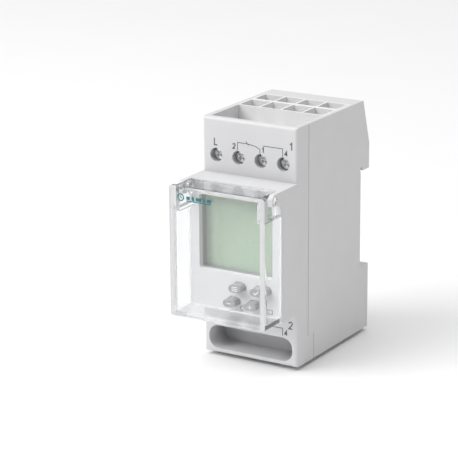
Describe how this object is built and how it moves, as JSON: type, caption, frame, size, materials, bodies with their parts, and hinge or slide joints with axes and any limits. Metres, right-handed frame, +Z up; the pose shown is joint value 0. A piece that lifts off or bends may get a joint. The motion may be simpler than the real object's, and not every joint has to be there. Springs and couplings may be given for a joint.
{
  "type": "din rail timer",
  "caption": "Modular time switch for a 35 mm rail with a stepped housing, a hinged clear cover over display and keys, and screw terminals in the upper shoulder.",
  "frame": {"origin": "middle of the rail seat, on the plane that lies against the rail", "axes": "+X to the right as seen from the face, +Y from the face back to the rail, +Z up"},
  "size_m": [0.036, 0.071, 0.0835],
  "materials": {
    "housing_light": "fine moulded texture, light grey",
    "housing_face": "fine moulded texture, light grey",
    "carrier_grey": "moulded",
    "latch_grey": "moulded",
    "clear_cover": "clear, polished",
    "frame_dark": "dark grey",
    "lcd_green": "reflective liquid crystal panel",
    "light_guide": "diffusing",
    "conductive_rubber": "black",
    "key_grey": "mid grey",
    "switch_black": "moulded",
    "board_green": "solder resist",
    "chip_black": "moulded",
    "part_brown": "ceramic",
    "steel_plated": "zinc plated",
    "screw_steel": "bright zinc plated",
    "spring_steel": "spring steel",
    "header_ivory": "moulded",
    "ribbon_grey": "flexible",
    "relay_blue": "moulded",
    "copper": "tinned copper alloy",
    "film_yellow": "moulded",
    "can_sleeve": "shrink sleeve",
    "varistor_blue": "epoxy",
    "resistor_blue": "cement coated"
  },
  "bodies": {
    "housing": {"rear_base": "housing_light", "front_housing": "housing_face", "wire_entry_grid": "housing_light", "terminal_carrier": "carrier_grey", "latch_spring": "spring_steel", "lcd_frame": "frame_dark", "lcd_glass": "lcd_green", "lcd_backlight": "light_guide", "zebra_strips": "conductive_rubber", "display_board": "board_green", "tact_switches": "switch_black", "microcontroller": "chip_black", "quartz_crystal": "steel_plated", "chip_parts": "part_brown", "backup_battery": "steel_plated", "battery_clip": "spring_steel", "board_headers": "header_ivory", "ribbon_cable": "ribbon_grey", "mains_board": "board_green", "relay_base": "switch_black", "relay_cover": "relay_blue", "relay_coil": "copper", "relay_yoke": "steel_plated", "relay_fixed_contacts": "copper", "film_capacitor": "film_yellow", "smoothing_capacitors": "can_sleeve", "varistor": "varistor_blue", "rectifier_diodes": "chip_black", "fusible_resistor": "resistor_blue", "neutral_bar": "copper", "neutral_springs": "spring_steel", "contact_bar_1": "copper", "contact_bar_2": "copper", "contact_bar_3": "copper", "contact_bar_4": "copper"},
    "cover": {"clear_cover": "clear_cover"},
    "latch": {"rail_latch": "latch_grey"},
    "armature": {"relay_armature": "steel_plated", "relay_moving_contact": "copper"},
    "menu_key": {"menu_button": "key_grey", "switch_plunger_1": "switch_black"},
    "ok_key": {"ok_button": "key_grey", "switch_plunger_2": "switch_black"},
    "minus_key": {"minus_button": "key_grey", "switch_plunger_3": "switch_black"},
    "plus_key": {"plus_button": "key_grey", "switch_plunger_4": "switch_black"},
    "screw_1": {"terminal_screw_1": "screw_steel"},
    "cage_1": {"terminal_cage_1": "steel_plated"},
    "screw_2": {"terminal_screw_2": "screw_steel"},
    "cage_2": {"terminal_cage_2": "steel_plated"},
    "screw_3": {"terminal_screw_3": "screw_steel"},
    "cage_3": {"terminal_cage_3": "steel_plated"},
    "screw_4": {"terminal_screw_4": "screw_steel"},
    "cage_4": {"terminal_cage_4": "steel_plated"}
  },
  "joints": [
    {"name": "cover_hinge", "type": "hinge", "parent": "housing", "child": "cover", "pos_m": [0, -0.058, 0.0204], "axis": [-1, 0, 0], "range_deg": [0, 110]},
    {"name": "latch_slide", "type": "slide", "parent": "housing", "child": "latch", "axis": [0, 0, -1], "range_m": [0, 0.0035], "stiffness_N_per_m": 1500, "springref_m": -0.001, "deforming": ["latch_spring"]},
    {"name": "armature_hinge", "type": "hinge", "parent": "housing", "child": "armature", "pos_m": [-0.00905, -0.00835, 0.0093], "axis": [1, 0, 0], "range_deg": [0, 4], "stiffness_Nm_per_rad": 0.02, "springref_deg": -1.15},
    {"name": "menu_press", "type": "slide", "parent": "housing", "child": "menu_key", "axis": [0, 1, 0], "range_m": [0, 0.0005], "stiffness_N_per_m": 1200},
    {"name": "ok_press", "type": "slide", "parent": "housing", "child": "ok_key", "axis": [0, 1, 0], "range_m": [0, 0.0005], "stiffness_N_per_m": 1200},
    {"name": "minus_press", "type": "slide", "parent": "housing", "child": "minus_key", "axis": [0, 1, 0], "range_m": [0, 0.0005], "stiffness_N_per_m": 1200},
    {"name": "plus_press", "type": "slide", "parent": "housing", "child": "plus_key", "axis": [0, 1, 0], "range_m": [0, 0.0005], "stiffness_N_per_m": 1200},
    {"name": "screw_turn_1", "type": "hinge", "parent": "housing", "child": "screw_1", "pos_m": [-0.01275, -0.042, 0.0284], "axis": [0, 1, 0], "range_deg": [0, 2520]},
    {"name": "cage_slide_1", "type": "slide", "parent": "housing", "child": "cage_1", "axis": [0, -1, 0], "range_m": [0, 0.0035]},
    {"name": "screw_turn_2", "type": "hinge", "parent": "housing", "child": "screw_2", "pos_m": [-0.00425, -0.042, 0.0284], "axis": [0, 1, 0], "range_deg": [0, 2520]},
    {"name": "cage_slide_2", "type": "slide", "parent": "housing", "child": "cage_2", "axis": [0, -1, 0], "range_m": [0, 0.0035]},
    {"name": "screw_turn_3", "type": "hinge", "parent": "housing", "child": "screw_3", "pos_m": [0.00425, -0.042, 0.0284], "axis": [0, 1, 0], "range_deg": [0, 2520]},
    {"name": "cage_slide_3", "type": "slide", "parent": "housing", "child": "cage_3", "axis": [0, -1, 0], "range_m": [0, 0.0035]},
    {"name": "screw_turn_4", "type": "hinge", "parent": "housing", "child": "screw_4", "pos_m": [0.01275, -0.042, 0.0284], "axis": [0, 1, 0], "range_deg": [0, 2520]},
    {"name": "cage_slide_4", "type": "slide", "parent": "housing", "child": "cage_4", "axis": [0, -1, 0], "range_m": [0, 0.0035]}
  ],
  "couplings": [
    {"joint": "screw_turn_1", "follows": "cage_slide_1", "rad_per_m": 12566},
    {"joint": "screw_turn_2", "follows": "cage_slide_2", "rad_per_m": 12566},
    {"joint": "screw_turn_3", "follows": "cage_slide_3", "rad_per_m": 12566},
    {"joint": "screw_turn_4", "follows": "cage_slide_4", "rad_per_m": 12566}
  ]
}
